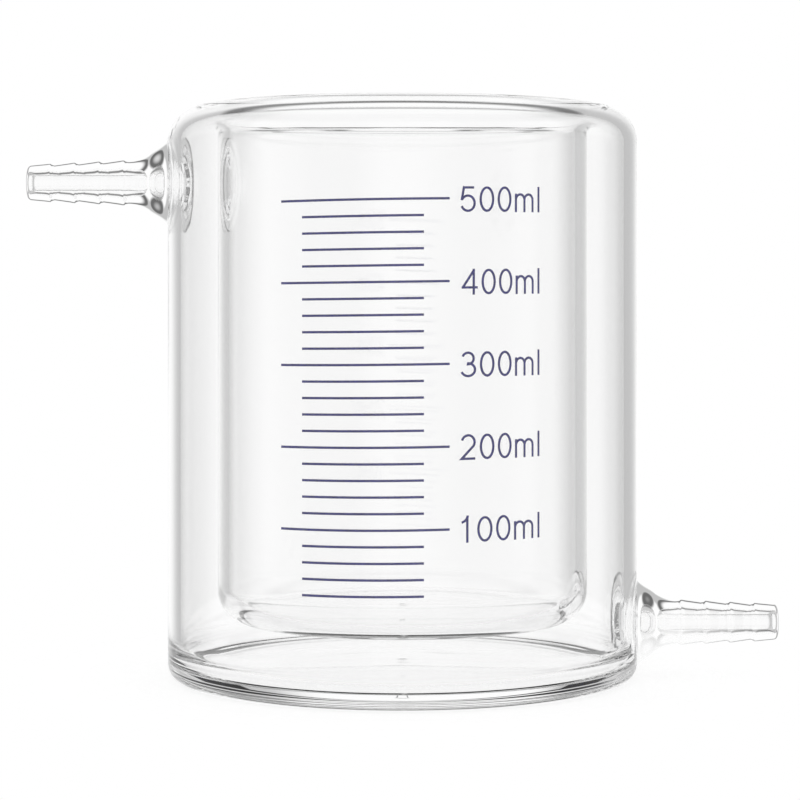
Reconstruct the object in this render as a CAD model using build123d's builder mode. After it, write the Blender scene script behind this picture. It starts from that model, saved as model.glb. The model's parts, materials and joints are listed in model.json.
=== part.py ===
from build123d import *
from math import degrees, pi
import os

# A 500 ml jacketed glass beaker, in millimetres. An inner vessel hangs by its flared lip inside
# a round-shouldered jacket. Two bosses are drawn out of the jacket wall, one low and one high on
# the far side, and each carries a serrated hose nozzle. The scale is enamel lines fired on the
# vessel. +Z is up and the beaker stands on Z = 0 around its own axis. The inlet nozzle points
# to +X, the outlet nozzle to -X, and the scale faces -Y.

os.makedirs("parts", exist_ok=True)

# Vessel, the glass that holds the contents
bore_radius = 41.5
vessel_wall = 2.75
vessel_lift = 13.5
vessel_floor = 2.7
vessel_heel_radius = 6.0
vessel_inner_heel_radius = 4.2
vessel_floor_rise = 0.8
vessel_flat_width = 10.0
capacity = 500.0e3
freeboard = 23.4

# Jacket, the glass around it, one gap away from the vessel
jacket_gap = 8.9
jacket_wall = 3.0
jacket_base = 3.0
jacket_heel_radius = 3.3
jacket_inner_heel_radius = 4.5
base_rise = 0.9
standing_ring_width = 12.0

# Rim, where the vessel's flared lip meets the jacket's in-turned shoulder
lip_flare = 3.5
rim_thickness = 3.0

# Bosses drawn out of the jacket wall, and where they are
inlet_height = 12.6
outlet_drop = 18.1
boss_length = 4.55
boss_root_radius = 12.0
boss_root_depth = 1.3
boss_bore_radius = 9.0
boss_bore_depth = 1.2

# Seal between a boss and its nozzle
seal_radius = 6.9
seal_bore_radius = 4.4

# Hose nozzles, from the seal out to the tip
neck_length = 5.3
neck_radius = 5.2
nozzle_bore_radius = 2.8
bell_length = 6.2
barb_count = 4
barb_pitch = 5.9
first_crest_radius = 5.6
crest_step = 0.28
barb_drop = 0.42
barb_drop_length = 0.8
crest_land = 0.5
tip_length = 5.5
tip_rounding = 0.9
tip_bore_rounding = 0.4

# Scale, a line every 20 ml and a longer one every 100 ml
line_volume = 20.0e3
lines_per_major = 5
scale_zero = 4.2
scale_centre = -102.0
scale_tilt = 0.75
major_line_length = 39.5
minor_line_length = 28.0
line_height = 0.55
enamel_thickness = 0.1

# Sizes that follow
vessel_radius = bore_radius + vessel_wall
jacket_bore_radius = vessel_radius + jacket_gap
jacket_radius = jacket_bore_radius + jacket_wall
lip_radius = vessel_radius + lip_flare
floor_height = vessel_lift + vessel_floor
bore_area = pi * bore_radius**2
overall_height = floor_height + scale_zero + capacity / bore_area + freeboard
cavity_top = overall_height - rim_thickness
vessel_flat_radius = vessel_radius - vessel_heel_radius - vessel_flat_width
ring_inner_radius = jacket_radius - jacket_heel_radius - standing_ring_width
outlet_height = overall_height - outlet_drop
seal_reach = jacket_radius + boss_length
first_crest_reach = seal_reach + neck_length + barb_drop_length
last_crest_reach = first_crest_reach + (barb_count - 1) * barb_pitch
tip_reach = last_crest_reach + tip_length


def dome(height, rise, radius):
    """The section of a floor that rises a little towards the axis. It joins the open BuildLine."""
    return TangentArc((0, height + rise), (radius, height), tangent=(1, 0))


def nozzle_plane(side, height):
    """The upright plane along a nozzle, where X is the reach from the beaker's axis."""
    return Plane(origin=(0, 0, height), x_dir=(side, 0, 0), z_dir=(0, -side, 0))


def line_plane(volume):
    """The plane of one scale line, which leans a little, as a hand-laid transfer does."""
    level = floor_height + scale_zero + volume / bore_area
    return Plane(Location((0, 0, level), (0, -scale_tilt, 0)))


nozzle_planes = {
    "inlet_nozzle": nozzle_plane(1, inlet_height),
    "outlet_nozzle": nozzle_plane(-1, outlet_height),
}

# Inner vessel, one revolved wall from the floor to the flared lip
with BuildPart() as inner_vessel:
    with BuildSketch(Plane.XZ):
        with BuildLine():
            under_dome = dome(vessel_lift, vessel_floor_rise, vessel_flat_radius)
            underside = Line(under_dome @ 1, (vessel_radius - vessel_heel_radius, vessel_lift))
            heel = JernArc(underside @ 1, (1, 0), vessel_heel_radius, 90)
            outside = Line(heel @ 1, (vessel_radius, cavity_top - lip_flare))
            lip_underside = JernArc(outside @ 1, (0, 1), lip_flare, -90)
            lip_seal = Line(lip_underside @ 1, (lip_radius, overall_height))
            lip_top = JernArc(lip_seal @ 1, (-1, 0), lip_radius - bore_radius, 90)
            bore = Line(lip_top @ 1, (bore_radius, floor_height + vessel_inner_heel_radius))
            inner_heel = JernArc(bore @ 1, (0, -1), vessel_inner_heel_radius, -90)
            floor_dome = dome(floor_height, vessel_floor_rise, vessel_flat_radius)
            Line(inner_heel @ 1, floor_dome @ 1)
            Line(floor_dome @ 0, under_dome @ 0)
        make_face()
    revolve(axis=Axis.Z)
inner_vessel.part.label = "inner_vessel"
export_step(inner_vessel.part, "parts/inner_vessel.step")

# Outer jacket, its outside first, then the bosses, then the hollows of both
with BuildPart() as outer_jacket:
    with BuildSketch(Plane.XZ):
        with BuildLine():
            base_dome = dome(0, base_rise, ring_inner_radius)
            standing_ring = Line(base_dome @ 1, (jacket_radius - jacket_heel_radius, 0))
            heel = JernArc(standing_ring @ 1, (1, 0), jacket_heel_radius, 90)
            shoulder_start = overall_height - (jacket_radius - lip_radius)
            outside = Line(heel @ 1, (jacket_radius, shoulder_start))
            shoulder = JernArc(outside @ 1, (0, 1), jacket_radius - lip_radius, 90)
            top = Line(shoulder @ 1, (0, overall_height))
            Line(top @ 1, base_dome @ 0)
        make_face()
    revolve(axis=Axis.Z)
    for plane in nozzle_planes.values():
        with BuildSketch(plane):
            with BuildLine():
                boss_axis = Line((0, 0), (seal_reach, 0))
                boss_seal = Line(boss_axis @ 1, (seal_reach, seal_radius))
                neck_arc = TangentArc(
                    (seal_reach + neck_length, neck_radius),
                    boss_seal @ 1,
                    tangent=(-1, 0),
                    mode=Mode.PRIVATE,
                )
                boss_root = (jacket_radius - boss_root_depth, boss_root_radius)
                flare = TangentArc(boss_seal @ 1, boss_root, tangent=neck_arc % 1)
                boss_back = Line(flare @ 1, (0, boss_root_radius))
                Line(boss_back @ 1, boss_axis @ 0)
            make_face()
        revolve(axis=Axis(plane.origin, plane.x_dir))
    with BuildSketch(Plane.XZ):
        with BuildLine():
            base_dome = dome(jacket_base, base_rise, ring_inner_radius)
            base_end = (jacket_bore_radius - jacket_inner_heel_radius, jacket_base)
            base_top = Line(base_dome @ 1, base_end)
            heel = JernArc(base_top @ 1, (1, 0), jacket_inner_heel_radius, 90)
            arch_start = cavity_top - (jacket_bore_radius - lip_radius)
            inside = Line(heel @ 1, (jacket_bore_radius, arch_start))
            arch = JernArc(inside @ 1, (0, 1), jacket_bore_radius - lip_radius, 90)
            seal_face = Line(arch @ 1, (lip_radius, overall_height))
            mouth = Line(seal_face @ 1, (0, overall_height))
            Line(mouth @ 1, base_dome @ 0)
        make_face()
    revolve(axis=Axis.Z, mode=Mode.SUBTRACT)
    for plane in nozzle_planes.values():
        with BuildSketch(plane):
            with BuildLine():
                bore_axis = Line((jacket_bore_radius - boss_bore_depth, 0), (seal_reach, 0))
                bore_end = Line(bore_axis @ 1, (seal_reach, seal_bore_radius))
                bell_arc = TangentArc(
                    (seal_reach + bell_length, nozzle_bore_radius),
                    bore_end @ 1,
                    tangent=(-1, 0),
                    mode=Mode.PRIVATE,
                )
                bore_root = (jacket_bore_radius - boss_bore_depth, boss_bore_radius)
                bore_flare = TangentArc(bore_end @ 1, bore_root, tangent=bell_arc % 1)
                Line(bore_flare @ 1, bore_axis @ 0)
            make_face()
        revolve(axis=Axis(plane.origin, plane.x_dir), mode=Mode.SUBTRACT)
outer_jacket.part.label = "outer_jacket"
export_step(outer_jacket.part, "parts/outer_jacket.step")

# Hose nozzles, turned outlines with a row of saw-tooth barbs
for name, plane in nozzle_planes.items():
    with BuildPart() as nozzle:
        with BuildSketch(plane):
            with BuildLine():
                valley = (seal_reach + neck_length, neck_radius)
                neck = TangentArc(valley, (seal_reach, seal_radius), tangent=(-1, 0))
                for barb in range(barb_count):
                    crest = first_crest_radius - barb * crest_step
                    reach = first_crest_reach + barb * barb_pitch
                    Line(valley, (reach, crest))
                    land = Line((reach, crest), (reach + crest_land, crest))
                    next_reach = reach + barb_pitch - barb_drop_length
                    valley = (next_reach, crest - crest_step - barb_drop)
                    if barb < barb_count - 1:
                        Line(land @ 1, valley)
                tip_radius = crest - barb_drop
                taper = Line(land @ 1, (tip_reach - tip_rounding, tip_radius))
                tip_arc = TangentArc(
                    taper @ 1, (tip_reach, tip_radius - tip_rounding), tangent=taper % 1
                )
                bore_lip = (tip_reach, nozzle_bore_radius + tip_bore_rounding)
                face = Line(tip_arc @ 1, bore_lip)
                rounding = RadiusArc(
                    face @ 1,
                    (tip_reach - tip_bore_rounding, nozzle_bore_radius),
                    tip_bore_rounding,
                )
                bore = Line(rounding @ 1, (seal_reach + bell_length, nozzle_bore_radius))
                bell = TangentArc(bore @ 1, (seal_reach, seal_bore_radius), tangent=(-1, 0))
                Line(bell @ 1, neck @ 1)
            make_face()
        revolve(axis=Axis(plane.origin, plane.x_dir))
    nozzle.part.label = name
    export_step(nozzle.part, f"parts/{name}.step")


def printed_lines(name, volumes, line_length):
    """Enamel lines round the front of the vessel at the levels of the given volumes."""
    with BuildPart() as lines:
        for volume in volumes:
            with BuildSketch(line_plane(volume)):
                Circle(jacket_radius)
            extrude(amount=line_height / 2, both=True)
        half_turn = degrees(line_length / 2 / vessel_radius)
        outer_radius = vessel_radius + enamel_thickness
        with BuildSketch(Plane.XY.offset(vessel_lift)):
            with BuildLine():
                start = scale_centre - half_turn
                inner_arc = CenterArc((0, 0), vessel_radius, start, 2 * half_turn)
                outer_arc = CenterArc((0, 0), outer_radius, start, 2 * half_turn)
                Line(inner_arc @ 0, outer_arc @ 0)
                Line(inner_arc @ 1, outer_arc @ 1)
            make_face()
        extrude(amount=overall_height, mode=Mode.INTERSECT)
    lines.part.label = name
    export_step(lines.part, f"parts/{name}.step")


# Scale, one node for each major line and one for the minor lines below it
for major in range(1, round(capacity / line_volume / lines_per_major) + 1):
    top_step = major * lines_per_major
    top_volume = top_step * line_volume
    printed_lines(f"line_{top_volume / 1000:.0f}_ml", [top_volume], major_line_length)
    minor_volumes = [(top_step - step) * line_volume for step in range(1, lines_per_major)]
    lowest = minor_volumes[-1] / 1000
    highest = minor_volumes[0] / 1000
    name = f"lines_{lowest:.0f}_to_{highest:.0f}_ml"
    printed_lines(name, minor_volumes, minor_line_length)
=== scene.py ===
"""The looks of a 500 ml jacketed glass beaker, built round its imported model."""

import json
import logging
import math
from dataclasses import dataclass
from enum import IntEnum

import bpy
import numpy as np
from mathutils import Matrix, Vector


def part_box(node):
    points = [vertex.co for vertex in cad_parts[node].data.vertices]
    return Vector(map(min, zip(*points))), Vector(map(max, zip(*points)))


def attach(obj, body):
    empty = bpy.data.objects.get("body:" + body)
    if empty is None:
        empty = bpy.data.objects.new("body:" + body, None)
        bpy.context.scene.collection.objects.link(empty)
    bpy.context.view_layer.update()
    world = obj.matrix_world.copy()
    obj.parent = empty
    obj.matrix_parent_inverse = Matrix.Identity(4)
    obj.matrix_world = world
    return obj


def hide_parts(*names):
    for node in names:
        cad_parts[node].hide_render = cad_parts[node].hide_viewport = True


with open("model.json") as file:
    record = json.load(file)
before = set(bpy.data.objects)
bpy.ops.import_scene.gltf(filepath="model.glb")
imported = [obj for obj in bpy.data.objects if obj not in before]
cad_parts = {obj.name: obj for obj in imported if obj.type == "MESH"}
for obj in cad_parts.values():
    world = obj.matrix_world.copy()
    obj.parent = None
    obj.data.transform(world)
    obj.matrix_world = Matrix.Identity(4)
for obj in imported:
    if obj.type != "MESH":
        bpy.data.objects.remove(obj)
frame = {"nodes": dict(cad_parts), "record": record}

LOG = logging.getLogger("beaker")
MM = 0.001
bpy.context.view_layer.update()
MOUNTS = {mount["name"]: mount for mount in frame["record"]["mounts"]}
SOFT_STEP = {"interpolation_type": "SMOOTHSTEP"}


def linear(code: str) -> tuple[float, float, float, float]:
    """Turns an sRGB hex colour into the linear colour that a shader takes.

    Args:
        code: The colour as "#rrggbb".

    Returns:
        Red, green, blue and an alpha of 1.
    """
    parts = [int(code[i:i + 2], 16) / 255 for i in (1, 3, 5)]
    red, green, blue = [
        part / 12.92 if part <= 0.04045 else ((part + 0.055) / 1.055) ** 2.4 for part in parts
    ]
    return red, green, blue, 1.0


def add_node(
    tree: bpy.types.NodeTree, kind: str, settings: dict | None = None, **links: object
) -> bpy.types.Node:
    """Adds one node with its settings, its input values and its links.

    Args:
        tree: The node tree that the node joins.
        kind: The node's type, without "ShaderNode".
        settings: Attributes of the node, and input values under the input's name or number.
        links: Output sockets, under the name of the input that they feed, or "in0", "in1".

    Returns:
        The new node.
    """
    node = tree.nodes.new("ShaderNode" + kind)
    for name, value in (settings or {}).items():
        if isinstance(name, int) or name in node.inputs:
            node.inputs[name].default_value = value
        else:
            setattr(node, name, value)
    for name, socket in links.items():
        key = int(name[2:]) if name[:2] == "in" and name[2:].isdigit() else name.replace("_", " ")
        tree.links.new(socket, node.inputs[key])
    return node


def new_material(name: str) -> tuple[bpy.types.Material, bpy.types.NodeTree]:
    """Makes a material with an empty node tree.

    Args:
        name: What the material is and how its surface was made.

    Returns:
        The material and its tree.
    """
    material = bpy.data.materials.new(name)
    material.use_nodes = True
    material.node_tree.nodes.clear()
    return material, material.node_tree


def make_piece(
    name: str, places: np.ndarray, faces: list[tuple[int, ...]], material: bpy.types.Material
) -> bpy.types.Object:
    """Makes an object from one mesh and one material.

    Args:
        name: Its name.
        places: Places of its vertices in mm.
        faces: Its faces, as vertex numbers.
        material: Its material.

    Returns:
        The new object.
    """
    mesh = bpy.data.meshes.new(name)
    mesh.from_pydata((places * MM).tolist(), [], faces)
    mesh.materials.append(material)
    piece = bpy.data.objects.new(name, mesh)
    bpy.context.collection.objects.link(piece)
    return piece


@dataclass(frozen=True)
class BlownBorosilicate:
    """Borosilicate glass, blown and flame-polished."""

    # Clear and smooth, with soft waves that bend what is seen through it. They are longer along the
    # axis, the way the glass was drawn.
    tint: str = "#fefefe"
    ior: float = 1.474
    roughness: float = 0.0
    wave_mm: float = 16.0
    stretch: float = 0.35
    depth_mm: float = 0.03

    def material(self) -> bpy.types.Material:
        """Makes the material.

        Returns:
            The glass.
        """
        material, tree = new_material("borosilicate_glass_blown")
        place = add_node(tree, "TexCoord")
        drawn = add_node(
            tree, "Mapping", {"Scale": (1.0, 1.0, self.stretch)}, Vector=place.outputs["Object"]
        )
        waves = add_node(
            tree, "TexNoise", {"Scale": 1 / (self.wave_mm * MM), "Detail": 0.0},
            Vector=drawn.outputs["Vector"],
        )
        bump = add_node(
            tree, "Bump", {"Strength": 1.0, "Distance": self.depth_mm * MM},
            Height=waves.outputs["Fac"],
        )
        glass = add_node(tree, "BsdfPrincipled", {
            "Base Color": linear(self.tint),
            "Transmission Weight": 1.0,
            "IOR": self.ior,
            "Roughness": self.roughness,
        }, Normal=bump.outputs["Normal"])
        add_node(tree, "OutputMaterial", Surface=glass.outputs["BSDF"])
        return material


@dataclass(frozen=True)
class FiredEnamel:
    """Blue ceramic enamel, printed as a transfer and fired on the glass."""

    # A thin print: deep blue, a little uneven in strength, with a soft glassy sheen.
    deep: str = "#1c1a7a"
    thin: str = "#2a2890"
    ior: float = 1.52
    patch_mm: float = 1.6
    deep_below: float = 0.35
    thin_above: float = 0.7
    smoothest: float = 0.25
    roughest: float = 0.4

    def material(self) -> bpy.types.Material:
        """Makes the material.

        Returns:
            The enamel.
        """
        material, tree = new_material("blue_enamel_fired")
        place = add_node(tree, "TexCoord")
        patches = add_node(
            tree, "TexNoise", {"Scale": 1 / (self.patch_mm * MM), "Detail": 3.0},
            Vector=place.outputs["Object"],
        )
        colour = add_node(tree, "ValToRGB", Fac=patches.outputs["Fac"])
        ramp = colour.color_ramp.elements
        ramp[0].position, ramp[1].position = self.deep_below, self.thin_above
        ramp[0].color, ramp[1].color = linear(self.deep), linear(self.thin)
        gloss = add_node(
            tree, "MapRange", {"To Min": self.smoothest, "To Max": self.roughest},
            Value=patches.outputs["Fac"],
        )
        enamel = add_node(
            tree, "BsdfPrincipled", {"IOR": self.ior},
            Base_Color=colour.outputs["Color"], Roughness=gloss.outputs["Result"],
        )
        add_node(tree, "OutputMaterial", Surface=enamel.outputs["BSDF"])
        return material


class Outline:
    """An open outline in the (radius, height) plane, in mm, drawn as lines, arcs and domes."""

    STEP = 0.05
    FEWEST = 6
    BEND_POINTS = 40

    def __init__(self, radius: float, height: float) -> None:
        """Starts the outline at a point.

        Args:
            radius: Distance from the axis.
            height: Distance along the axis.
        """
        self.points = [np.array((radius, height))]

    def _extend(self, new: np.ndarray) -> "Outline":
        """Adds points and returns the outline."""
        self.points.extend(new)
        return self

    def line(self, radius: float, height: float) -> "Outline":
        """Draws a straight line.

        Args:
            radius: Radius at its end.
            height: Height at its end.

        Returns:
            The outline.
        """
        start, end = self.points[-1], np.array((radius, height))
        count = max(1, math.ceil(np.linalg.norm(end - start) / self.STEP))
        steps = np.linspace(0, 1, count + 1)[1:, None]
        return self._extend(start + (end - start) * steps)

    def arc(self, centre: tuple[float, float], sweep: float) -> "Outline":
        """Draws an arc round a centre.

        Args:
            centre: Radius and height of the arc's centre.
            sweep: Turn in degrees, counter-clockwise when positive.

        Returns:
            The outline.
        """
        arm = self.points[-1] - centre
        size = float(np.hypot(*arm))
        start = math.atan2(arm[1], arm[0])
        count = max(self.FEWEST, math.ceil(abs(math.radians(sweep)) * size / self.STEP))
        turn = start + math.radians(sweep) * np.linspace(0, 1, count + 1)[1:]
        return self._extend(np.stack([np.cos(turn), np.sin(turn)], 1) * size + centre)

    def swell(self, radius: float, rise: float) -> "Outline":
        """Draws half a soft wave, as a pushed-up floor has.

        Args:
            radius: Radius at its end.
            rise: Height gained on the way there.

        Returns:
            The outline.
        """
        start = self.points[-1]
        count = max(self.FEWEST, math.ceil(abs(radius - start[0]) / self.STEP))
        part = np.linspace(0, 1, count + 1)[1:]
        run = start[0] + (radius - start[0]) * part
        height = start[1] + rise * (1 - np.cos(math.pi * part)) / 2
        return self._extend(np.stack([run, height], 1))

    def bend(self, radius: float, height: float, slope: float) -> "Outline":
        """Draws a curve that leaves along the axis and ends at a slope to it.

        Args:
            radius: Radius at its end.
            height: Height at its end.
            slope: Slope at its end, in degrees from the axis.

        Returns:
            The outline.
        """
        start, end = self.points[-1], np.array((radius, height))
        run = abs(end[1] - start[1]) / 3
        way = math.copysign(1, end[1] - start[1])
        out = math.copysign(1, end[0] - start[0])
        lean = np.array((out * math.sin(math.radians(slope)), way * math.cos(math.radians(slope))))
        first, second = start + (0, way * run), end - lean * run
        part = np.linspace(0, 1, self.BEND_POINTS)[1:, None]
        rest = 1 - part
        curve = rest**3 * start + 3 * rest**2 * part * first
        return self._extend(curve + 3 * rest * part**2 * second + part**3 * end)

    def at(self, distance: np.ndarray) -> tuple[np.ndarray, np.ndarray]:
        """Finds points by their distance along the outline.

        Args:
            distance: Distances from the start.

        Returns:
            Radii and heights.
        """
        drawn = np.array(self.points)
        along = np.concatenate([[0], np.cumsum(np.hypot(*np.diff(drawn, axis=0).T))])
        return np.interp(distance, along, drawn[:, 0]), np.interp(distance, along, drawn[:, 1])

    def length(self) -> float:
        """Returns the outline's length."""
        return float(np.hypot(*np.diff(np.array(self.points), axis=0).T).sum())

    def distance_at_height(self, height: float) -> float:
        """Finds where the outline's upright wall passes a height.

        Args:
            height: The height.

        Returns:
            The distance along the outline.
        """
        drawn = np.array(self.points)
        along = np.concatenate([[0], np.cumsum(np.hypot(*np.diff(drawn, axis=0).T))])
        index = int(np.argmax((drawn[:, 1] >= height) & (drawn[:, 0] > drawn[:, 0].max() - 1e-6)))
        return float(along[index] + height - drawn[index, 1])


class Skin:
    """Vertices and faces of one glass surface, gathered before they become a mesh."""

    def __init__(self) -> None:
        """Starts an empty skin."""
        self.places: list[np.ndarray] = []
        self.faces: list[tuple[int, ...]] = []
        self.count = 0

    def add(self, places: np.ndarray) -> np.ndarray:
        """Adds vertices.

        Args:
            places: Their places in mm, with x, y and z along the last axis.

        Returns:
            Their numbers, in an array of the same layout.
        """
        numbers = self.count + np.arange(places[..., 0].size).reshape(places.shape[:-1])
        self.places.append(places.reshape(-1, 3))
        self.count += numbers.size
        return numbers

    def bridge(self, low: np.ndarray, high: np.ndarray, flip: bool) -> None:
        """Joins two closed rings of vertices with four-cornered faces.

        Args:
            low: Vertex numbers of the first ring.
            high: Vertex numbers of the second ring.
            flip: Whether the faces look the other way.
        """
        for one, two, three, four in zip(low, np.roll(low, -1), np.roll(high, -1), high):
            corners = (one, two, three, four)
            self.faces.append(tuple(int(c) for c in (corners[::-1] if flip else corners)))

    def fan(self, ring: np.ndarray, centre: np.ndarray, flip: bool) -> None:
        """Closes a ring with triangles to one vertex.

        Args:
            ring: Vertex numbers of the ring.
            centre: Place of the middle vertex in mm.
            flip: Whether the faces look the other way.
        """
        middle = int(self.add(centre.reshape(1, 3))[0])
        for one, two in zip(ring, np.roll(ring, -1)):
            corners = (middle, int(one), int(two))
            self.faces.append(corners[::-1] if flip else corners)


class GlassPiece:
    """Common work of every glass piece: turning skins into one ridden, replacing mesh."""

    def finish_piece(
        self, name: str, node: str, skins: list[Skin], material: bpy.types.Material
    ) -> bpy.types.Object:
        """Makes the mesh of a glass piece and puts it in its node's place.

        Args:
            name: The piece's name.
            node: The node that it stands for.
            skins: Its surfaces.
            material: Its glass.

        Returns:
            The new object.
        """
        places = np.concatenate([np.concatenate(skin.places) for skin in skins])
        faces: list[tuple[int, ...]] = []
        start = 0
        for skin in skins:
            faces += [tuple(c + start for c in face) for face in skin.faces]
            start += skin.count
        piece = make_piece(name, places, faces, material)
        piece.data.shade_smooth()
        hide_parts(node)
        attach(piece, "root")
        LOG.info("%s: %d vertices", name, len(places))
        return piece


def spin(radii: np.ndarray, heights: np.ndarray, turns: np.ndarray) -> np.ndarray:
    """Turns outline points round the upright axis.

    Args:
        radii: Radii in mm.
        heights: Heights in mm.
        turns: Angles in radians.

    Returns:
        Places, with x, y and z along the last axis.
    """
    return np.stack([radii * np.cos(turns), radii * np.sin(turns), heights + 0 * turns], -1)


@dataclass
class InnerVessel(GlassPiece):
    """The inner glass, from its floor to its flared lip."""

    lip_radius: float = 47.75
    bore_radius: float = MOUNTS["mouth"]["dims"]["r_mm"]
    wall: float = 2.75
    lift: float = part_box("inner_vessel")[0].z / MM
    height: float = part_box("inner_vessel")[1].z / MM
    floor: float = 2.7
    # Both heels are rounder than the solid's, as the glass at the floor's edge shows.
    heel: float = 7.5
    inner_heel: float = 5.8
    rise: float = 0.8
    flat: float = 10.0
    rim: float = 3.0
    segments: int = 384
    row_step: float = 0.6

    def skin(self, outline: Outline, flip: bool) -> Skin:
        """Turns an outline that starts on the axis into a skin.

        Args:
            outline: The outline.
            flip: Whether its faces look the other way.

        Returns:
            The skin.
        """
        skin = Skin()
        rows = math.ceil(outline.length() / self.row_step)
        radii, heights = outline.at(np.linspace(0, outline.length(), rows + 1)[1:])
        turns = np.arange(self.segments) * math.tau / self.segments
        numbers = skin.add(spin(radii[:, None], heights[:, None], turns[None, :]))
        for low, high in zip(numbers[:-1], numbers[1:]):
            skin.bridge(low, high, flip)
        skin.fan(numbers[0], np.array((0, 0, outline.points[0][1])), flip)
        return skin

    def build(self, material: bpy.types.Material) -> bpy.types.Object:
        """Builds the vessel.

        Args:
            material: Its glass.

        Returns:
            The vessel's object.
        """
        outer = self.bore_radius + self.wall
        flare = self.lip_radius - outer
        flat_radius = outer - self.heel - self.flat
        outside = Outline(0, self.lift + self.rise)
        outside.swell(flat_radius, -self.rise).line(outer - self.heel, self.lift)
        outside.arc((outer - self.heel, self.lift + self.heel), 90)
        outside.line(outer, self.height - self.rim - flare)
        outside.arc((self.lip_radius, self.height - self.rim - flare), -90)
        floor = self.lift + self.floor
        inside = Outline(0, floor + self.rise)
        inside.swell(flat_radius, -self.rise).line(self.bore_radius - self.inner_heel, floor)
        inside.arc((self.bore_radius - self.inner_heel, floor + self.inner_heel), 90)
        roll = self.lip_radius - self.bore_radius
        inside.line(self.bore_radius, self.height - roll)
        inside.arc((self.lip_radius, self.height - roll), -90)
        skins = [self.skin(outside, False), self.skin(inside, True)]
        return self.finish_piece("vessel_glass", "inner_vessel", skins, material)


class Side(IntEnum):
    """The side of the jacket that a boss is drawn out of, as the sign of X."""

    INLET = 1
    OUTLET = -1


@dataclass
class Boss:
    """Where a boss leaves the jacket, and the rings that lead from the wall to its seal."""

    side: Side
    height: float
    reach: float
    seal_radius: float = 6.9
    seal_bore_radius: float = 4.4
    slope: float = 44.0
    grip: float = 0.38
    bead: float = 0.35
    bead_width: float = 0.6
    segments: int = 96
    rings: int = 14

    @classmethod
    def under(cls, node: str, side: Side) -> "Boss":
        """Finds the boss that a nozzle is sealed to.

        Args:
            node: The nozzle's node.
            side: Its side of the jacket.

        Returns:
            The boss.
        """
        low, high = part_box(node)
        reach = min(abs(low.x), abs(high.x)) / MM
        return cls(side, (low.z + high.z) / 2 / MM, reach)

    def seal_ring(self, radius: float) -> np.ndarray:
        """Places of the seal's ring.

        Args:
            radius: The ring's radius in mm.

        Returns:
            The places, one row for each vertex.
        """
        turn = np.arange(self.segments) * math.tau / self.segments
        return np.stack([
            np.full(self.segments, self.side * self.reach),
            self.side * radius * np.cos(turn),
            self.height + radius * np.sin(turn),
        ], -1)

    def flare(self, root: np.ndarray, inward: np.ndarray, radius: float) -> np.ndarray:
        """Rings of the curve from the wall to the seal, without the wall's own ring.

        Args:
            root: Places of the ring on the wall.
            inward: Unit directions along the wall towards the boss's axis.
            radius: Radius at the seal in mm.

        Returns:
            Places, ring by ring.
        """
        seal = self.seal_ring(radius)
        turn = np.arange(self.segments) * math.tau / self.segments
        lean = math.radians(self.slope)
        arrive = np.stack([
            np.full(self.segments, self.side * math.cos(lean)),
            -self.side * math.sin(lean) * np.cos(turn),
            -math.sin(lean) * np.sin(turn),
        ], -1)
        grip = np.linalg.norm(seal - root, axis=1, keepdims=True) * self.grip
        part = np.linspace(0, 1, self.rings + 1)[1:, None, None]
        rest = 1 - part
        curve = rest**3 * root + 3 * rest**2 * part * (root + inward * grip)
        return curve + 3 * rest * part**2 * (seal - arrive * grip) + part**3 * seal


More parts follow.
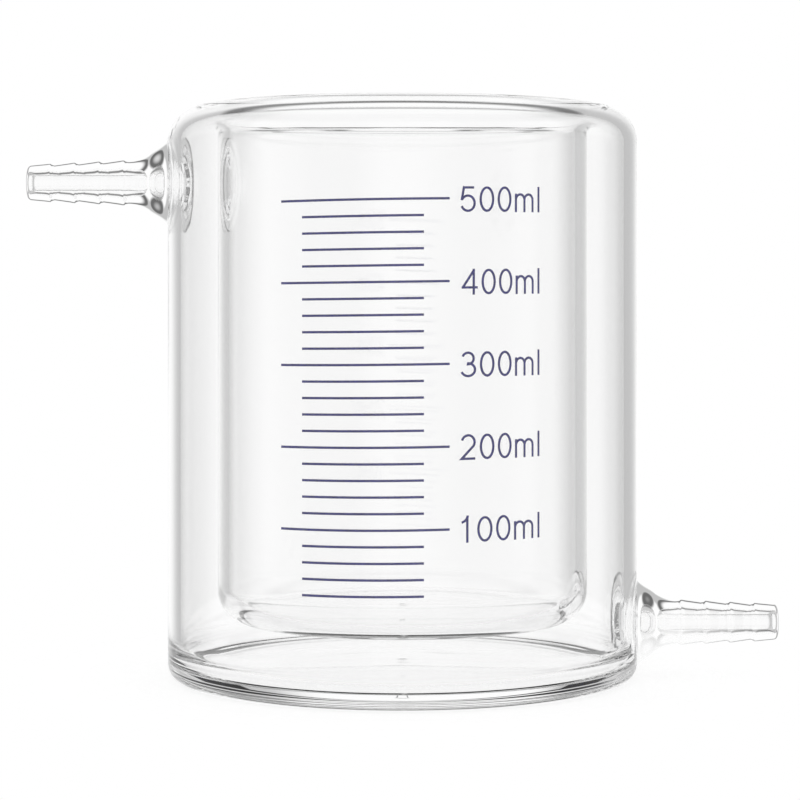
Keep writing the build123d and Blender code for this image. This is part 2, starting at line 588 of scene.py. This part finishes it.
@dataclass
class OuterJacket(GlassPiece):
    """The outer glass, with its two bosses drawn out of the wall."""

    bosses: list[Boss]
    lip_radius: float = InnerVessel.lip_radius
    bore_radius: float = 53.15
    wall: float = 3.0
    base: float = 3.0
    height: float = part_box("outer_jacket")[1].z / MM
    heel: float = 3.3
    # Rounder than the solid's heel, as the glass at the base shows.
    inner_heel: float = 6.5
    rise: float = 0.9
    ring_width: float = 12.0
    rim: float = InnerVessel.rim
    outer_root: float = 11.4
    inner_root: float = 9.0
    segments: int = InnerVessel.segments
    # Round each boss a square of cells is left out and its edge bent into a circle, where the
    # boss's rings start. The cells out to patch_cells ease into that bend.
    hole_cells: int = 12
    patch_cells: int = 15
    # Rows end this share of a row before the axis and the lip.
    end_gap: float = 0.3
    # How far outside a hole's edge the wall's direction there is taken, in mm.
    probe: float = 0.05

    def skin(
        self, outline: Outline, root_radius: float, seal_radii: list[float], flip: bool
    ) -> Skin:
        """Turns an outline into a skin whose bosses are drawn out of it.

        Args:
            outline: The outline, from the axis to the lip.
            root_radius: Radius at which the bosses leave the wall, in mm.
            seal_radii: Radius at each boss's seal, in mm.
            flip: Whether its faces look the other way.

        Returns:
            The skin.
        """
        skin = Skin()
        wall_radius = max(point[0] for point in outline.points)
        cell = wall_radius * math.tau / self.segments
        marks = [outline.distance_at_height(boss.height) for boss in self.bosses]
        low_mark, high_mark = min(marks), max(marks)
        step = (high_mark - low_mark) / round((high_mark - low_mark) / cell)
        below = math.floor(low_mark / step - self.end_gap)
        above = math.floor((outline.length() - low_mark) / step - self.end_gap)
        rows = low_mark + step * np.arange(-below, above + 1)
        rows = np.append(rows, outline.length())
        turns = np.arange(self.segments) * math.tau / self.segments
        along, across = np.meshgrid(rows, turns, indexing="ij")
        keep = np.ones((len(rows) - 1, self.segments), bool)
        holes = []
        for boss, mark, seal_radius in zip(self.bosses, marks, seal_radii):
            row = below + round((mark - low_mark) / step)
            column = 0 if boss.side > 0 else self.segments // 2
            self.warp(along, across, row, column, step, cell, root_radius)
            span = self.hole_cells
            columns = np.arange(column - span, column + span) % self.segments
            keep[row - span:row + span, columns] = False
            holes.append((boss, row, column, mark, seal_radius))
        radii, heights = outline.at(along)
        numbers = skin.add(spin(radii, heights, across))
        right = np.roll(numbers, -1, axis=1)
        for i, j in np.argwhere(keep):
            corners = (numbers[i, j], right[i, j], right[i + 1, j], numbers[i + 1, j])
            skin.faces.append(tuple(int(c) for c in (corners[::-1] if flip else corners)))
        skin.fan(numbers[0], np.array((0, 0, outline.points[0][1])), flip)
        for boss, row, column, mark, seal_radius in holes:
            ring = self.hole_ring(numbers, row, column)
            self.draw_boss(skin, outline, boss, mark, column, ring, root_radius, seal_radius, flip)
        return skin

    def warp(
        self, along: np.ndarray, across: np.ndarray, row: int, column: int,
        step: float, cell: float, root_radius: float,
    ) -> None:
        """Moves the grid round a boss so that its hole is a circle.

        Args:
            along: Distances along the outline, changed in place.
            across: Angles round the axis, changed in place.
            row: Row of the boss's axis.
            column: Column of the boss's axis.
            step: Row spacing in mm.
            cell: Column spacing in mm.
            root_radius: Radius of the hole in mm.
        """
        reach = self.patch_cells
        for a in range(-reach, reach + 1):
            for b in range(-reach, reach + 1):
                ring = max(abs(a), abs(b))
                if ring < self.hole_cells:
                    continue
                turn = self.ring_turn(a, b, ring)
                part = (reach - ring) / (reach - self.hole_cells)
                part = part * part * (3 - 2 * part)
                radius = root_radius + (ring - self.hole_cells) * cell
                side = (1 - part) * a * cell + part * radius * math.cos(turn)
                rise = (1 - part) * b * step + part * radius * math.sin(turn)
                j = (column + a) % self.segments
                along[row + b, j] += rise - b * step
                across[row + b, j] += (side / cell - a) * math.tau / self.segments

    def ring_turn(self, a: int, b: int, ring: int) -> float:
        """The angle on a circle that a vertex of a square ring goes to.

        Args:
            a: Columns from the middle.
            b: Rows from the middle.
            ring: The larger of the two distances.

        Returns:
            The angle in radians.
        """
        eighth = math.pi / 4
        if abs(a) == ring:
            turn = eighth * b / ring
            return turn if a > 0 else math.pi - turn
        turn = eighth * (2 - a / ring)
        return turn if b > 0 else -turn

    def hole_ring(self, numbers: np.ndarray, row: int, column: int) -> np.ndarray:
        """Vertex numbers of a hole's edge, in the order of the seal's ring.

        Args:
            numbers: The grid's vertex numbers.
            row: Row of the boss's axis.
            column: Column of the boss's axis.

        Returns:
            The numbers, from the column side upwards and round.
        """
        span = self.hole_cells
        edge = [
            (a, b) for a in range(-span, span + 1) for b in range(-span, span + 1)
            if max(abs(a), abs(b)) == span
        ]
        edge.sort(key=lambda ab: round(self.ring_turn(ab[0], ab[1], span) % math.tau, 9))
        return np.array([numbers[row + b, (column + a) % self.segments] for a, b in edge])

    def draw_boss(
        self, skin: Skin, outline: Outline, boss: Boss, mark: float, column: int,
        ring: np.ndarray, root_radius: float, seal_radius: float, flip: bool,
    ) -> None:
        """Adds the rings from a hole's edge to the boss's seal.

        Args:
            skin: The skin that they join.
            outline: The jacket's outline.
            boss: The boss.
            mark: Distance of its axis along the outline.
            column: Column of its axis.
            ring: Vertex numbers of the hole's edge.
            root_radius: Radius of the hole in mm.
            seal_radius: Radius at the seal in mm.
            flip: Whether its faces look the other way.
        """
        wall_radius = max(point[0] for point in outline.points)
        turn = np.arange(boss.segments) * math.tau / boss.segments
        middle = column * math.tau / self.segments
        rings = []
        for radius in (root_radius + self.probe, root_radius):
            radii, heights = outline.at(mark + radius * np.sin(turn))
            rings.append(spin(radii, heights, middle + radius * np.cos(turn) / wall_radius))
        inward = rings[1] - rings[0]
        inward /= np.linalg.norm(inward, axis=1, keepdims=True)
        numbers = skin.add(boss.flare(rings[1], inward, seal_radius))
        low = ring
        for high in numbers:
            skin.bridge(low, high, not flip)
            low = high

    def build(self, material: bpy.types.Material) -> bpy.types.Object:
        """Builds the jacket.

        Args:
            material: Its glass.

        Returns:
            The jacket's object.
        """
        outer = self.bore_radius + self.wall
        ring_radius = outer - self.heel - self.ring_width
        shoulder = outer - self.lip_radius
        outside = Outline(0, self.rise).swell(ring_radius, -self.rise)
        outside.line(outer - self.heel, 0).arc((outer - self.heel, self.heel), 90)
        outside.line(outer, self.height - shoulder)
        outside.arc((self.lip_radius, self.height - shoulder), 90)
        arch = self.bore_radius - self.lip_radius
        inside = Outline(0, self.base + self.rise).swell(ring_radius, -self.rise)
        inside.line(self.bore_radius - self.inner_heel, self.base)
        inside.arc((self.bore_radius - self.inner_heel, self.base + self.inner_heel), 90)
        inside.line(self.bore_radius, self.height - self.rim - arch)
        inside.arc((self.lip_radius, self.height - self.rim - arch), 90)
        outer_seals = [boss.seal_radius for boss in self.bosses]
        inner_seals = [boss.seal_bore_radius - boss.bead for boss in self.bosses]
        skins = [
            self.skin(outside, self.outer_root, outer_seals, False),
            self.skin(inside, self.inner_root, inner_seals, True),
        ]
        return self.finish_piece("jacket_glass", "outer_jacket", skins, material)


@dataclass
class HoseNozzle(GlassPiece):
    """One serrated hose nozzle, from its seal to its tip."""

    name: str
    boss: Boss
    length: float = (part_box("inlet_nozzle")[1].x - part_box("inlet_nozzle")[0].x) / MM
    bore_radius: float = MOUNTS["inlet_bore"]["dims"]["r_mm"]
    neck_length: float = 5.3
    neck_radius: float = 5.2
    bell_length: float = 6.2
    barbs: int = 4
    pitch: float = 5.9
    crest_radius: float = 5.6
    crest_step: float = 0.28
    drop: float = 0.42
    drop_length: float = 0.8
    land: float = 0.5
    rounding: float = 0.9
    bore_rounding: float = 0.4
    neck_slope: float = 36.0
    bell_slope: float = 29.0
    row_step: float = 0.25

    def outline(self) -> Outline:
        """Draws the nozzle's outline, with heights measured from the seal to the tip.

        Returns:
            The outline.
        """
        boss = self.boss
        turned = Outline(self.neck_radius, self.neck_length)
        turned.bend(boss.seal_radius, 0, self.neck_slope)
        turned.points.reverse()
        for barb in range(self.barbs):
            crest = self.crest_radius - barb * self.crest_step
            reach = self.neck_length + self.drop_length + barb * self.pitch
            turned.line(crest, reach).line(crest, reach + self.land)
            if barb < self.barbs - 1:
                valley = crest - self.crest_step - self.drop
                turned.line(valley, reach + self.pitch - self.drop_length)
        tip = crest - self.drop
        turned.line(tip, self.length - self.rounding)
        turned.arc((tip - self.rounding, self.length - self.rounding), 90)
        turned.line(self.bore_radius + self.bore_rounding, self.length)
        turned.arc((self.bore_radius + self.bore_rounding, self.length - self.bore_rounding), 90)
        turned.line(self.bore_radius, self.bell_length)
        turned.bend(boss.seal_bore_radius, boss.bead_width, self.bell_slope)
        return turned.line(boss.seal_bore_radius - boss.bead, 0)

    def build(self, material: bpy.types.Material) -> bpy.types.Object:
        """Builds the nozzle.

        Args:
            material: Its glass.

        Returns:
            The nozzle's object.
        """
        outline = self.outline()
        rows = math.ceil(outline.length() / self.row_step)
        radii, reach = outline.at(np.linspace(0, outline.length(), rows + 1))
        boss = self.boss
        turn = np.arange(boss.segments) * math.tau / boss.segments
        places = np.stack([
            boss.side * (boss.reach + reach)[:, None] + 0 * turn,
            boss.side * radii[:, None] * np.cos(turn),
            boss.height + radii[:, None] * np.sin(turn),
        ], -1)
        skin = Skin()
        numbers = skin.add(places)
        for low, high in zip(numbers[:-1], numbers[1:]):
            skin.bridge(low, high, True)
        return self.finish_piece(self.name + "_glass", self.name, [skin], material)


BOW_STEPS = 24


def bow(
    middle: tuple[float, float], size: tuple[float, float], start: float, end: float
) -> list[tuple[float, float]]:
    """Points along a part of an ellipse.

    Args:
        middle: Its centre.
        size: Its half width and half height.
        start: Angle of the first point, in degrees.
        end: Angle of the last point, in degrees.

    Returns:
        The points.
    """
    step = (end - start) / BOW_STEPS
    turns = [math.radians(start + step * number) for number in range(BOW_STEPS + 1)]
    return [(middle[0] + size[0] * math.cos(t), middle[1] + size[1] * math.sin(t)) for t in turns]


class Letters:
    """Plain upright letters as pen strokes, with the em as the unit and the baseline at 0."""

    TOP = 0.68
    STEM = 0.716
    FOOT = 0.035
    ADVANCE = {"m": 0.833, "l": 0.222}
    DIGIT_ADVANCE = 0.556

    def strokes(self, letter: str) -> list[list[tuple[float, float]]]:
        """Returns the pen strokes of one letter.

        Args:
            letter: A digit from 0 to 5, m or l.

        Returns:
            One list of points for each stroke.
        """
        top, stem, foot = self.TOP, self.STEM, self.FOOT
        middle = (top + foot) / 2
        drawn = {
            "0": [bow((0.278, middle), (0.19, top - middle), 90, 450)],
            "1": [[(0.33, 0.0), (0.33, stem)], bow((0.1, 0.75), (0.24, 0.2), 0, -72)],
            "2": [bow((0.27, 0.49), (0.185, top - 0.49), 165, -32) + [(0.08, foot), (0.475, foot)]],
            "3": [
                bow((0.26, 0.52), (0.165, top - 0.52), 160, -90)
                + bow((0.265, 0.21), (0.2, 0.36 - 0.185), 90, -160),
            ],
            "4": [
                [(0.37, 0.0), (0.37, stem)],
                [(0.385, 0.69), (0.045, 0.2)],
                [(0.01, 0.2), (0.49, 0.2)],
            ],
            "5": [
                [(0.45, top), (0.125, top)],
                [(0.16, stem), (0.09, 0.325)],
                bow((0.27, 0.245), (0.195, 0.245 - foot), 152, -158),
            ],
            "m": [
                [(0.1, 0.0), (0.1, 0.515)],
                bow((0.25, 0.34), (0.15, 0.155), 180, 0) + [(0.4, 0.0)],
                bow((0.55, 0.34), (0.15, 0.155), 180, 0) + [(0.7, 0.0)],
            ],
            "l": [[(0.1, 0.0), (0.1, stem)]],
        }
        return drawn[letter]

    def word(self, text: str) -> list[np.ndarray]:
        """Returns the strokes of a whole word, letter after letter.

        Args:
            text: The word.

        Returns:
            One array of points for each stroke.
        """
        pen, lines = 0.0, []
        for letter in text:
            lines += [np.array(stroke) + (pen, 0) for stroke in self.strokes(letter)]
            pen += self.ADVANCE.get(letter, self.DIGIT_ADVANCE)
        return lines


@dataclass
class Numeral:
    """One numeral of the scale, drawn in enamel strokes round the vessel."""

    # It starts at an angle in degrees round from the front, and rises by the tilt to the right.
    text: str
    level: float
    radius: float = InnerVessel.bore_radius + InnerVessel.wall
    thickness: float = 0.1
    start: float = 16.8
    width: float = 20.9
    em: float = 8.1
    pen: float = 0.54
    tilt: float = 0.75

    def build(self, material: bpy.types.Material) -> bpy.types.Object:
        """Builds the numeral.

        Args:
            material: Its enamel.

        Returns:
            The numeral's object.
        """
        lines = Letters().word(self.text)
        left = min(line[:, 0].min() for line in lines)
        right = max(line[:, 0].max() for line in lines)
        stretch = (self.width - self.pen) / (right - left)
        middle = Letters.TOP / 2 * self.em
        skin = Skin()
        for line in lines:
            flat = (line - (left, 0)) * (stretch, self.em) + (self.pen / 2, -middle)
            self.draw(skin, flat)
        places = np.concatenate(skin.places)
        piece = make_piece(f"numeral_{self.text}", places, skin.faces, material)
        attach(piece, "root")
        LOG.info("%s: level %.1f mm", piece.name, self.level)
        return piece

    def draw(self, skin: Skin, line: np.ndarray) -> None:
        """Adds one stroke as a thin closed ribbon.

        Args:
            skin: The skin that it joins.
            line: Its middle line in mm, flat.
        """
        run = np.diff(line, axis=0)
        run /= np.linalg.norm(run, axis=1, keepdims=True)
        before, after = np.vstack([run[:1], run]), np.vstack([run, run[-1:]])
        across = before + after
        across /= (across**2).sum(1, keepdims=True) / 2
        across = np.stack([-across[:, 1], across[:, 0]], 1) * self.pen / 2
        sides = [line + across, line - across]
        rings = np.stack([
            self.wrap(sides[0], self.radius), self.wrap(sides[1], self.radius),
            self.wrap(sides[1], self.radius + self.thickness),
            self.wrap(sides[0], self.radius + self.thickness),
        ], 1)
        numbers = skin.add(rings)
        for low, high in zip(numbers[:-1], numbers[1:]):
            skin.bridge(low, high, False)
        skin.faces.append(tuple(int(c) for c in numbers[0][::-1]))
        skin.faces.append(tuple(int(c) for c in numbers[-1]))

    def wrap(self, flat: np.ndarray, radius: float) -> np.ndarray:
        """Bends flat points round the vessel.

        Args:
            flat: Points in mm, along the arc and up.
            radius: Radius to lay them at.

        Returns:
            Their places in mm.
        """
        turn = np.radians(self.start - 90) + flat[:, 0] / self.radius
        x, y = radius * np.cos(turn), radius * np.sin(turn)
        height = self.level + flat[:, 1] + x * math.tan(math.radians(self.tilt))
        return np.stack([x, y, height], 1)


@dataclass
class PrintedScale:
    """The printed scale: the enamel on its lines, and its numerals."""

    step: int = 100
    capacity: int = 500
    drop: float = 0.35

    def build(self, enamel: bpy.types.Material) -> None:
        """Dresses the lines and prints a numeral beside each major one.

        Args:
            enamel: The enamel of all of them.
        """
        for name, node in frame["nodes"].items():
            if name.startswith("line"):
                node.data.materials.clear()
                node.data.materials.append(enamel)
                LOG.info("%s: enamel", name)
        lean = math.tan(math.radians(Numeral.tilt))
        for volume in range(self.step, self.capacity + 1, self.step):
            low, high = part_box(f"line_{volume}_ml")
            middle = (low + high) / 2 / MM
            Numeral(f"{volume}ml", middle.z - middle.x * lean - self.drop).build(enamel)


@dataclass
class Studio:
    """The camera, the pale floor and the soft light, with lengths in mm."""

    # The camera stands level and straight in front. Its shift sets the axis and the eye's row.
    focal_px: float = 2538.0
    frame_px: float = 800.0
    eye_row_px: float = 285.8
    axis_column_px: float = 402.4
    mm_per_px: float = 0.2405
    eye_height: float = 93.4
    sensor: float = 36.0
    clip_end_m: float = 20.0
    # The floor's colour is even up to floor_firm and fades out by floor_radius.
    floor_radius: float = 100.0
    floor_firm: float = 58.0
    floor_sides: int = 96
    sink: float = 0.2
    floor_colour: str = "#f6f6f6"
    light_colour: str = "#ffffff"
    glow_share: float = 0.76
    glow_strength: float = 1.14
    # Dark flags between the lights draw the edges of the glass. Those in front are weaker.
    flag_count: float = 4.0
    flag_shift: float = 4.5
    flag_start: float = 0.5
    flag_full: float = -0.45
    flag_dark: float = 0.46
    front_share: float = 0.35
    front_fade: float = 0.3
    # A dark ring above and one below, by the sine of the elevation, draw the rim and the base.
    ring_start: float = 0.5
    ring_full: float = 0.62
    ring_dark: float = 0.85
    clear_start: float = 0.66
    clear_full: float = 0.8
    wall_bounces: int = 48
    glossy_bounces: int = 20
    transparent_bounces: int = 16

    def camera(self) -> None:
        """Places the camera as the photograph's view needs."""
        data = bpy.data.cameras.new("camera")
        data.sensor_width = self.sensor
        data.lens = self.focal_px / self.frame_px * self.sensor
        data.shift_x = (self.frame_px / 2 - self.axis_column_px) / self.frame_px
        data.shift_y = (self.eye_row_px - self.frame_px / 2) / self.frame_px
        data.clip_end = self.clip_end_m
        camera = bpy.data.objects.new("camera", data)
        camera.location = (0, -self.focal_px * self.mm_per_px * MM, self.eye_height * MM)
        camera.rotation_euler = (math.pi / 2, 0, 0)
        bpy.context.collection.objects.link(camera)
        bpy.context.scene.camera = camera

    def floor(self) -> None:
        """Lays the pale floor."""
        material, tree = new_material("floor_matt_white")
        path = add_node(tree, "LightPath")
        seen = add_node(
            tree, "Math", {"operation": "MAXIMUM"},
            in0=path.outputs["Is Camera Ray"], in1=path.outputs["Is Transmission Ray"],
        )
        seen = add_node(
            tree, "Math", {"operation": "MAXIMUM"},
            in0=seen.outputs["Value"], in1=path.outputs["Is Glossy Ray"],
        )
        share = add_node(
            tree, "Math", {"operation": "MULTIPLY", 1: self.glow_share}, in0=seen.outputs["Value"]
        )
        matt = add_node(tree, "BsdfDiffuse", {"Color": linear(self.floor_colour)})
        glow = add_node(tree, "Emission", {
            "Color": linear(self.light_colour), "Strength": self.glow_strength,
        })
        mix = add_node(
            tree, "MixShader", Fac=share.outputs["Value"],
            in1=matt.outputs["BSDF"], in2=glow.outputs["Emission"],
        )
        place = add_node(tree, "TexCoord")
        reach = add_node(
            tree, "VectorMath", {"operation": "LENGTH"}, in0=place.outputs["Object"]
        )
        fade = add_node(tree, "MapRange", SOFT_STEP | {
            "From Min": self.floor_firm * MM, "From Max": self.floor_radius * MM,
        }, Value=reach.outputs["Value"])
        clear = add_node(tree, "BsdfTransparent")
        soft = add_node(
            tree, "MixShader", Fac=fade.outputs["Result"],
            in1=mix.outputs["Shader"], in2=clear.outputs["BSDF"],
        )
        add_node(tree, "OutputMaterial", Surface=soft.outputs["Shader"])
        turns = np.arange(self.floor_sides) * math.tau / self.floor_sides
        edge = spin(np.full_like(turns, self.floor_radius), -self.sink, turns)
        floor = make_piece("floor", edge, [tuple(range(self.floor_sides))], material)

    def sky(self) -> None:
        """Hangs the soft light all round, with dark flags and with dark rings above and below."""
        world = bpy.data.worlds.new("studio")
        bpy.context.scene.world = world
        world.use_nodes = True
        tree = world.node_tree
        tree.nodes.clear()
        path = add_node(tree, "LightPath")
        place = add_node(tree, "TexCoord")
        axes = add_node(tree, "SeparateXYZ", in0=place.outputs["Generated"])
        turn = add_node(
            tree, "Math", {"operation": "ARCTAN2"}, in0=axes.outputs["X"], in1=axes.outputs["Y"]
        )
        turn = add_node(
            tree, "Math", {"operation": "ADD", 1: math.radians(self.flag_shift)},
            in0=turn.outputs["Value"],
        )
        turn = add_node(
            tree, "Math", {"operation": "MULTIPLY", 1: self.flag_count},
            in0=turn.outputs["Value"],
        )
        wave = add_node(tree, "Math", {"operation": "COSINE"}, in0=turn.outputs["Value"])
        flags = add_node(tree, "MapRange", SOFT_STEP | {
            "From Min": self.flag_start, "From Max": self.flag_full, "To Max": self.flag_dark,
        }, Value=wave.outputs["Value"])
        behind = add_node(tree, "MapRange", SOFT_STEP | {
            "From Min": -self.front_fade, "From Max": self.front_fade,
            "To Min": self.front_share,
        }, Value=axes.outputs["Y"])
        flags = add_node(
            tree, "Math", {"operation": "MULTIPLY"},
            in0=flags.outputs["Result"], in1=behind.outputs["Result"],
        )
        rise = add_node(tree, "Math", {"operation": "ABSOLUTE"}, in0=axes.outputs["Z"])
        ring = add_node(tree, "MapRange", SOFT_STEP | {
            "From Min": self.ring_start, "From Max": self.ring_full, "To Max": self.ring_dark,
        }, Value=rise.outputs["Value"])
        dark = add_node(
            tree, "Math", {"operation": "MAXIMUM"},
            in0=flags.outputs["Value"], in1=ring.outputs["Result"],
        )
        below = add_node(tree, "MapRange", SOFT_STEP | {
            "From Min": self.clear_start, "From Max": self.clear_full,
            "To Min": 1.0, "To Max": 0.0,
        }, Value=rise.outputs["Value"])
        dark = add_node(
            tree, "Math", {"operation": "MULTIPLY"},
            in0=dark.outputs["Value"], in1=below.outputs["Result"],
        )
        bright = add_node(
            tree, "Math", {"operation": "SUBTRACT", 0: 1.0}, in1=dark.outputs["Value"]
        )
        soft = add_node(
            tree, "Background", {"Color": linear(self.light_colour)},
            Strength=bright.outputs["Value"],
        )
        plain = add_node(tree, "Background", {"Color": linear(self.light_colour)})
        mix = add_node(
            tree, "MixShader", Fac=path.outputs["Is Camera Ray"],
            in1=soft.outputs["Background"], in2=plain.outputs["Background"],
        )
        add_node(tree, "OutputWorld", Surface=mix.outputs["Shader"])

    def light_paths(self) -> None:
        """Lets light pass all the walls of the glass."""
        cycles = bpy.context.scene.cycles
        cycles.max_bounces = self.wall_bounces
        cycles.transmission_bounces = self.wall_bounces
        cycles.glossy_bounces = self.glossy_bounces
        cycles.transparent_max_bounces = self.transparent_bounces

    def build(self) -> None:
        """Builds the whole studio."""
        self.camera()
        self.floor()
        self.sky()
        self.light_paths()
        bpy.context.scene.view_settings.view_transform = "Standard"


def main() -> None:
    """Builds the studio and every piece, in order."""
    logging.basicConfig(level=logging.INFO, format="%(name)s %(message)s")
    Studio().build()
    glass = BlownBorosilicate().material()
    enamel = FiredEnamel().material()
    inlet = Boss.under("inlet_nozzle", Side.INLET)
    outlet = Boss.under("outlet_nozzle", Side.OUTLET)
    InnerVessel().build(glass)
    OuterJacket([inlet, outlet]).build(glass)
    HoseNozzle("inlet_nozzle", inlet).build(glass)
    HoseNozzle("outlet_nozzle", outlet).build(glass)
    PrintedScale().build(enamel)


if __name__ == "__main__":
    main()
